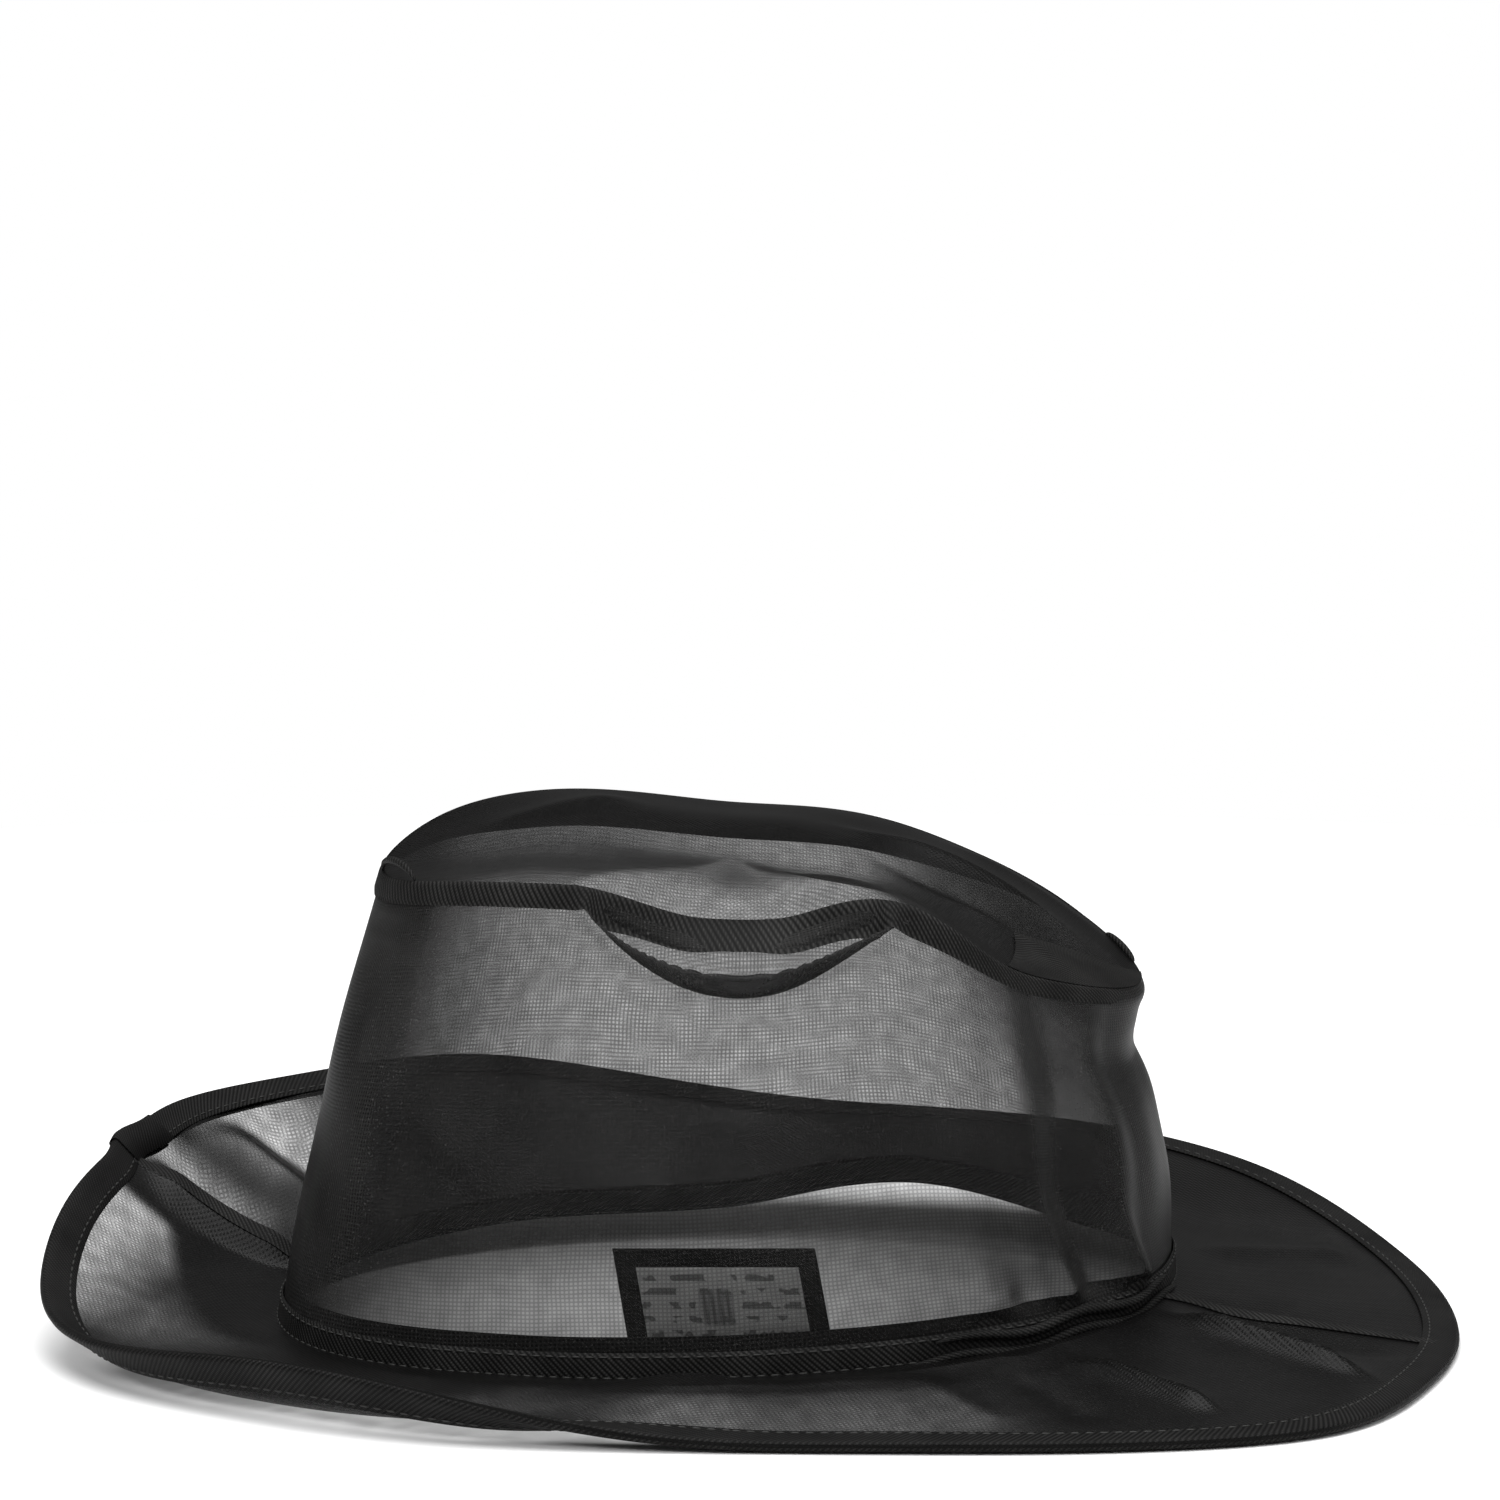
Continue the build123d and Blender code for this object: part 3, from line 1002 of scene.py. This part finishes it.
def brim_edges():
    binding_section = both_halves(BINDING_OUTSIDE + BINDING_INSIDE)
    for half, (start, end) in (("front", (-90, 90)), ("back", (90, 270))):
        angles = arc(start, end, 0.6)
        piece = edge_sweep(f"brim_binding_{half}_twill", angles, binding_section)
        dress(piece, binding_twill)
        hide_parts(f"brim_binding_{half}", "brim_binding_near", "brim_binding_far")
        fold(piece)
        piece = edge_sweep(f"brim_boning_{half}", angles, BONING_SECTION)
        dress(piece, boning)
        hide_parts(f"brim_stiffener_{half}", "brim_stiffener_near", "brim_stiffener_far")
        fold(piece)
        edge, inward, upward = brim_frame(angles)
        for face, sign in (("upper", 1), ("under", -1)):
            path = edge + inward * STITCH_INSET + upward * STITCH_HEIGHT * sign
            piece = stitches(f"binding_stitches_{face}_{half}", path, upward * sign)
            dress(piece, thread)
            fold(piece)


def binding_tab():
    """The lapped end of the binding, which stands out in a small point at the back."""
    angles = arc(TAB_ANGLE - 7, TAB_ANGLE + 2, 0.6)
    piece = edge_sweep("binding_lapped_end", angles, both_halves(LAPPED_END))
    dress(piece, binding_twill)
    fold(piece)


def brim_seam_tape(half, centre):
    """A tape over the seam in the brim's upper cloth."""
    shares = np.linspace(0.02, 0.93, 60)
    lines = []
    for offset in (-1.9, 1.9):
        angle = math.radians(centre) + offset / (100 + 55 * shares)
        lines.append(brim(angle, shares, LAYER_LIFT + 0.4))
    upward = unit(np.cross(unit(np.gradient(lines[0], axis=0)), unit(lines[1] - lines[0])))
    piece = band(f"brim_{half}_seam_tape_twill", lines[0], lines[1], upward, 0.5, closed=False)
    dress(piece, tape_twill)
    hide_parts(f"brim_{half}_seam_tape")
    fold(piece)


def band_stitches():
    """Two rows of stitches round the tape at the foot of the crown."""
    ring = arc(0, 360, 0.75)
    for row, height in (("lower", 1.3), ("upper", 5.9)):
        path = crown_side(ring, height / wall_height(ring), 1.0)
        outward = unit(path - np.array([OPENING_CENTRE[0], OPENING_CENTRE[1], path[0, 2]]))
        piece = stitches(f"base_tape_stitches_{row}", path, outward)
        dress(piece, thread)
        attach(piece, "hat")


# --- Label --------------------------------------------------------------------------------

LABEL_SHEAR = 4.5
LABEL_CURL = 1.4
LABEL_SHRUNK = 0.9


def label_panel(name, margin, thick, material, node):
    """A slightly curled panel inside the label's outline, margin mm in from its edges."""
    low, high = (np.array(corner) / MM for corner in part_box("label_border"))
    foot = np.array([0, low[1], low[2]])
    head = np.array([0, high[1], high[2]])
    rise = (head - foot) * LABEL_SHRUNK
    length = np.linalg.norm(rise)
    normal = np.array([0, -rise[2], rise[1]]) / length
    across = np.linspace(low[0] + margin, high[0] - margin, 30)
    up = np.linspace(margin, length - margin, 24)
    x, t = np.meshgrid(across, up, indexing="ij")
    share = t / length
    middle = foot + rise * share[..., None]
    middle[..., 0] = x - LABEL_SHEAR * share
    middle += normal * (LABEL_CURL * np.sin(math.pi * share) * share)[..., None]
    front = middle + normal * thick / 2
    back = (middle - normal * thick / 2)[:, ::-1]
    points = np.concatenate([front, back], axis=1)
    height = np.concatenate([up, up[::-1]])

    def uvs(i, j):
        return np.stack([across[i] - low[0], height[j % len(height)]], axis=-1)

    piece = grid_mesh(name, points, uvs, closed=(False, True))
    dress(piece, material)
    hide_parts(node)
    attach(piece, "label")
    return piece


crown_walls()
crown_top()
crown_tapes()
front_flap()
rolled_edges()
seam_loop("tip_seam_loop_back", -178, -162, (-1.0, 0, 3.4))
seam_loop("tip_seam_loop_front", 5, 12, (0.5, 0, 0.5))
crown_seam_tape("crown_front_seam_tape", SEAM, 0.1, 0.94)
crown_seam_tape("crown_back_seam_tape", SEAM + 180, 0.1, 0.93)
brim_cloths()
brim_edges()
binding_tab()
brim_seam_tape("front", SEAM)
brim_seam_tape("back", SEAM + 180)
band_stitches()
label_panel("label_ribbon", 0.0, 0.4, ribbon, "label_border")
label_panel("label_satin", 4.5, 0.75, label_satin, "label_field")

# --- Stage --------------------------------------------------------------------------------

FLOOR_RADIUS = 0.95
CAMERA_AIM = Vector((-1.4, -2, 0)) * MM
CAMERA_ELEVATION = math.radians(13)
CAMERA_DISTANCE = 1.15
LENS = 116.2
LOOK_UP = math.radians(6.63)
# Each light: name, place, the point it is aimed at, diameter and power.
LIGHTS = [
    ("top", (0.0, 0.0, 2.1), (0, 0, 0), 2.6, 72),
    ("key", (-0.8, -1.3, 1.2), (0, 0, 0.05), 0.7, 14),
    ("fill", (1.3, -0.9, 0.9), (0, 0, 0.05), 0.7, 7),
]


def floor():
    """A round pale floor that ends where the white backdrop takes over."""
    mesh = bpy.data.meshes.new("floor")
    turns = np.linspace(0, TURN, 96, endpoint=False)
    rim = [(FLOOR_RADIUS * math.cos(t), FLOOR_RADIUS * math.sin(t), 0) for t in turns]
    mesh.from_pydata(rim, [], [tuple(range(len(rim)))])
    piece = bpy.data.objects.new("floor", mesh)
    bpy.context.scene.collection.objects.link(piece)
    mesh.materials.append(plain("floor", (0.94, 0.94, 0.94), 0.9, 0.0))


def area_light(name, place, aim, size, power):
    data = bpy.data.lights.new(name, "AREA")
    data.shape = "DISK"
    data.size = size
    data.energy = power
    lamp = bpy.data.objects.new(name, data)
    lamp.location = place
    lamp.rotation_euler = (Vector(aim) - Vector(place)).to_track_quat("-Z", "Y").to_euler()
    bpy.context.scene.collection.objects.link(lamp)


def world(backdrop, light):
    """A white backdrop that lights the scene less than it shows."""
    scene = bpy.context.scene
    scene.world = scene.world or bpy.data.worlds.new("studio")
    scene.world.use_nodes = True
    tree = scene.world.node_tree
    background = tree.nodes["Background"]
    background.inputs["Color"].default_value = (1, 1, 1, 1)
    path = tree.nodes.new("ShaderNodeLightPath")
    strength = tree.nodes.new("ShaderNodeMapRange")
    strength.inputs["To Min"].default_value = light
    strength.inputs["To Max"].default_value = backdrop
    tree.links.new(path.outputs["Is Camera Ray"], strength.inputs["Value"])
    tree.links.new(strength.outputs[0], background.inputs["Strength"])


def camera():
    data = bpy.data.cameras.new("camera")
    data.lens = LENS
    data.sensor_width = 36
    data.clip_start = 0.05
    piece = bpy.data.objects.new("camera", data)
    back = Vector((0, -math.cos(CAMERA_ELEVATION), math.sin(CAMERA_ELEVATION)))
    piece.location = CAMERA_AIM + back * CAMERA_DISTANCE
    pitch = math.pi / 2 - CAMERA_ELEVATION + LOOK_UP
    piece.rotation_euler = (pitch, 0, 0)
    bpy.context.scene.collection.objects.link(piece)
    bpy.context.scene.camera = piece


floor()
camera()
world(1.0, 0.16)
for light in LIGHTS:
    area_light(*light)
bpy.context.scene.cycles.transparent_max_bounces = 24
bpy.context.scene.view_settings.view_transform = "Standard"
